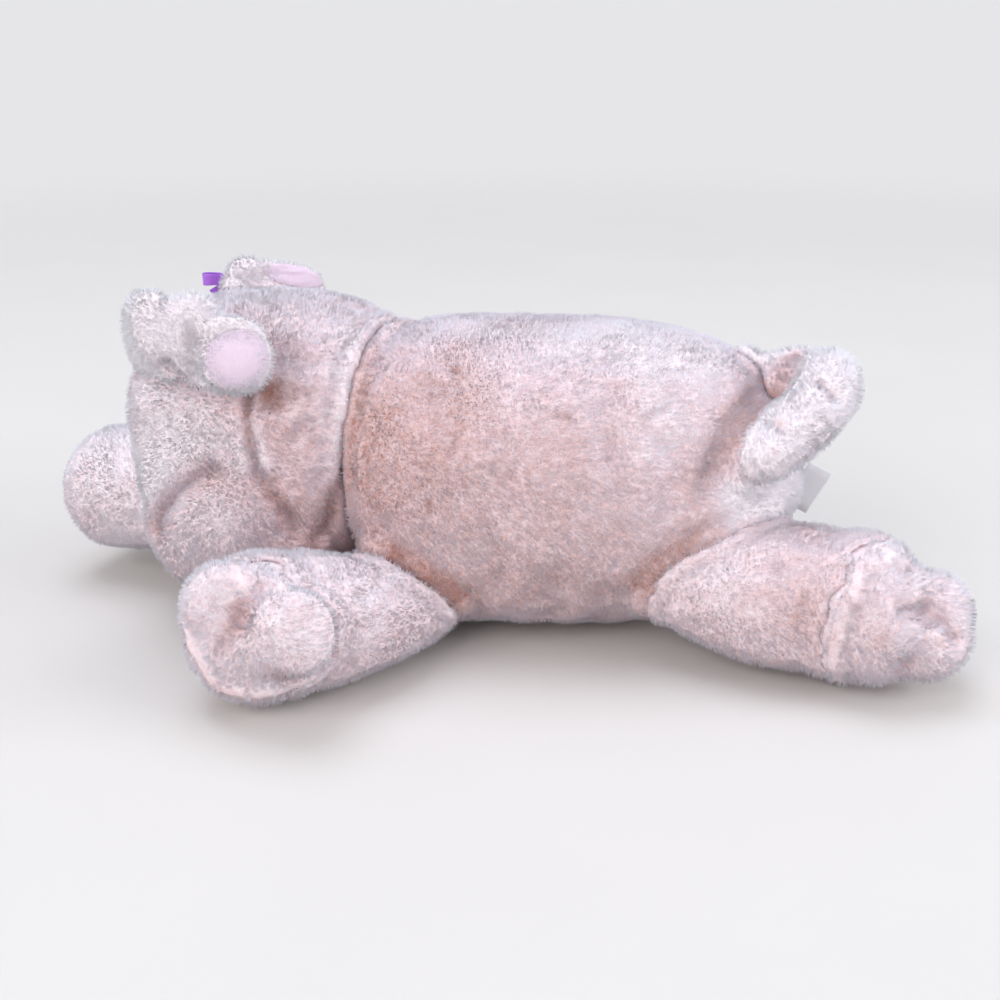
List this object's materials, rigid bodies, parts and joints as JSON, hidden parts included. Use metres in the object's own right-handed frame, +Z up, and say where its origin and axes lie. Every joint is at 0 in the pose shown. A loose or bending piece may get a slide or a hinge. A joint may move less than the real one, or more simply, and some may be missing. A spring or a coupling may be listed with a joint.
{
  "type": "plush pig",
  "caption": "Stuffed toy pig lying on its belly: plush covers round fibre fillings, splayed legs with cloven hooves, lined flap ears, curled tail, snout, ribbon bow and safety eyes.",
  "frame": {"origin": "middle of the flat patch of the belly that rests on the floor", "axes": "-X towards the snout, +X towards the tail, -Y the pig's left side, +Z up"},
  "size_m": [0.4334, 0.3043, 0.1661],
  "materials": {
    "plush": "matte",
    "fibre": "matte",
    "lining": "matte",
    "felt": "matte",
    "satin": "satin",
    "label_cloth": "satin",
    "eye_plastic": "gloss",
    "washer_plastic": "matte"
  },
  "bodies": {
    "trunk": {"body_cover": "plush", "body_filling": "fibre"},
    "head": {"head_cover": "plush", "head_filling": "fibre", "snout_cover": "plush", "snout_filling": "fibre", "nose_disc": "plush", "nostril_left": "felt", "nostril_right": "felt", "eye_left": "eye_plastic", "eye_right": "eye_plastic", "eye_left_washer": "washer_plastic", "eye_right_washer": "washer_plastic"},
    "front_left_leg": {"front_left_leg_cover": "plush", "front_left_leg_filling": "fibre", "front_left_hoof": "plush"},
    "front_right_leg": {"front_right_leg_cover": "plush", "front_right_leg_filling": "fibre", "front_right_hoof": "plush"},
    "hind_left_leg": {"hind_left_leg_cover": "plush", "hind_left_leg_filling": "fibre", "hind_left_hoof": "plush"},
    "hind_right_leg": {"hind_right_leg_cover": "plush", "hind_right_leg_filling": "fibre", "hind_right_hoof": "plush"},
    "left_ear": {"left_ear_back": "plush", "left_ear_lining": "lining"},
    "right_ear": {"right_ear_back": "plush", "right_ear_lining": "lining", "bow_knot": "satin", "bow_loop_left": "satin", "bow_loop_right": "satin", "bow_tail_left": "satin", "bow_tail_right": "satin"},
    "tail": {"tail_cover": "plush", "tail_filling": "fibre"},
    "label": {"care_label": "label_cloth"}
  },
  "joints": [
    {"name": "neck", "type": "hinge", "parent": "trunk", "child": "head", "pos_m": [-0.0534, 0, 0.1485], "axis": [0.018, 0.9998, 0.006], "range_deg": [0, 15], "stiffness_Nm_per_rad": 0.4},
    {"name": "front_left_hip", "type": "hinge", "parent": "trunk", "child": "front_left_leg", "pos_m": [-0.0485, -0.0705, 0.0495], "axis": [-0.836, -0.249, 0.489], "range_deg": [0, 40], "stiffness_Nm_per_rad": 0.12},
    {"name": "front_right_hip", "type": "hinge", "parent": "trunk", "child": "front_right_leg", "pos_m": [-0.0345, 0.071, 0.0512], "axis": [0.8514, -0.2971, -0.4322], "range_deg": [0, 40], "stiffness_Nm_per_rad": 0.12},
    {"name": "hind_left_hip", "type": "hinge", "parent": "trunk", "child": "hind_left_leg", "pos_m": [0.093, -0.068, 0.0625], "axis": [-0.9602, -0.007, -0.2791], "range_deg": [0, 40], "stiffness_Nm_per_rad": 0.12},
    {"name": "hind_right_hip", "type": "hinge", "parent": "trunk", "child": "hind_right_leg", "pos_m": [0.084, 0.075, 0.0645], "axis": [0.9993, -0.011, -0.036], "range_deg": [0, 40], "stiffness_Nm_per_rad": 0.12},
    {"name": "left_ear_root", "type": "hinge", "parent": "head", "child": "left_ear", "pos_m": [-0.15, -0.006, 0.15], "axis": [-1, 0, 0], "range_deg": [0, 60]},
    {"name": "right_ear_root", "type": "hinge", "parent": "head", "child": "right_ear", "pos_m": [-0.1326, 0.0435, 0.1475], "axis": [1, 0, 0], "range_deg": [0, 60]},
    {"name": "tail_root", "type": "hinge", "parent": "trunk", "child": "tail", "pos_m": [0.112, 0.005, 0.1253], "axis": [-1, 0, 0], "range_deg": [0, 40], "stiffness_Nm_per_rad": 0.05},
    {"name": "label_seam", "type": "hinge", "parent": "trunk", "child": "label", "pos_m": [0.1447, -0.008, 0.0625], "axis": [0, 0, 1], "range_deg": [-35, 35]}
  ]
}
